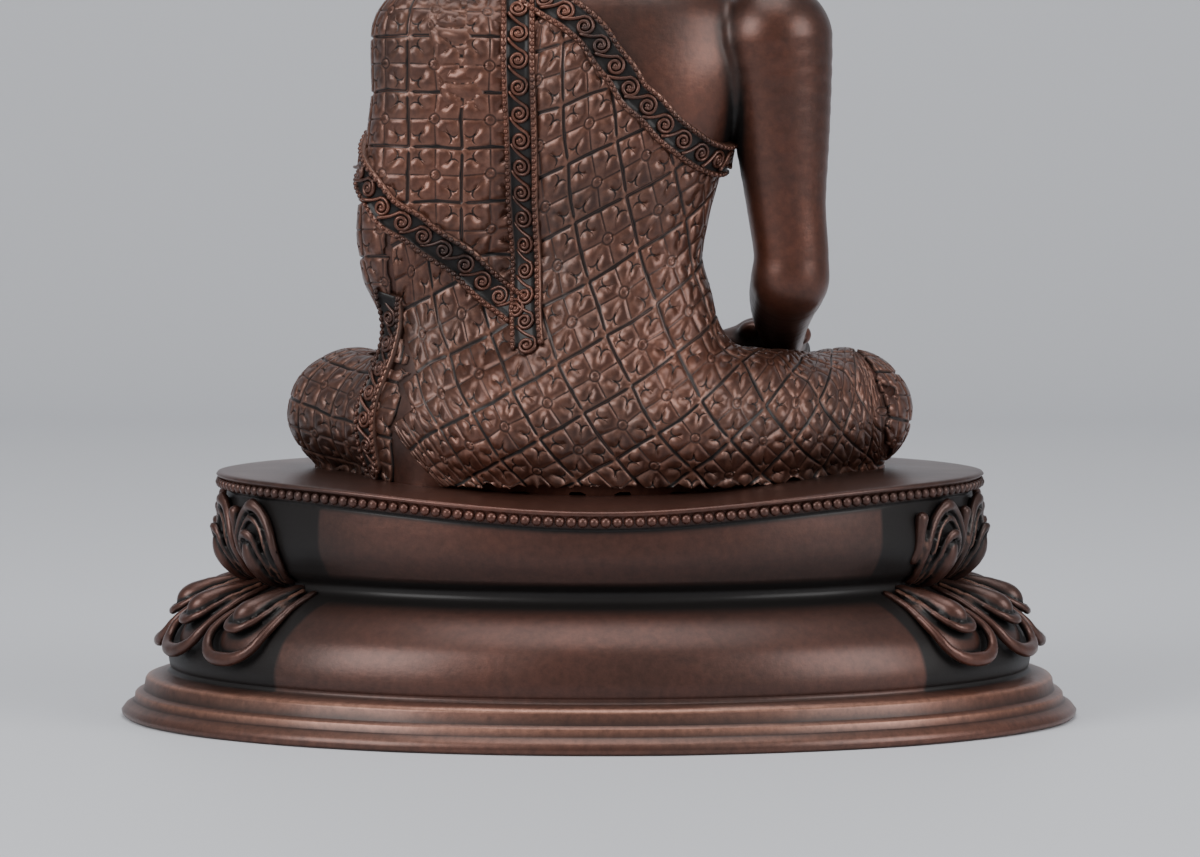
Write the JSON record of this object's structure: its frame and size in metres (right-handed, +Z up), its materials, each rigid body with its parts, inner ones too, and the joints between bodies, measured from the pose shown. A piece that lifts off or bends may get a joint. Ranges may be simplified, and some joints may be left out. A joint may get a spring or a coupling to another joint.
{
  "type": "seated buddha figure on a lotus pedestal",
  "caption": "Cast copper buddha seated cross-legged in a patterned robe, one hand reaching to the ground, on an oval double-lotus pedestal.",
  "frame": {"origin": "middle of the pedestal's underside", "axes": "+Z up, the figure faces -Y, its right hand on -X"},
  "size_m": [0.27, 0.189, 0.297],
  "materials": {
    "pedestal_copper": "oxidised cast copper, dark brown, satin, with worn copper edges",
    "figure_copper": "oxidised cast copper, dark brown with reddish highlights and near-black chased lines"
  },
  "bodies": {
    "root": {"lotus_pedestal": "pedestal_copper", "seated_figure": "figure_copper"}
  },
  "joints": []
}
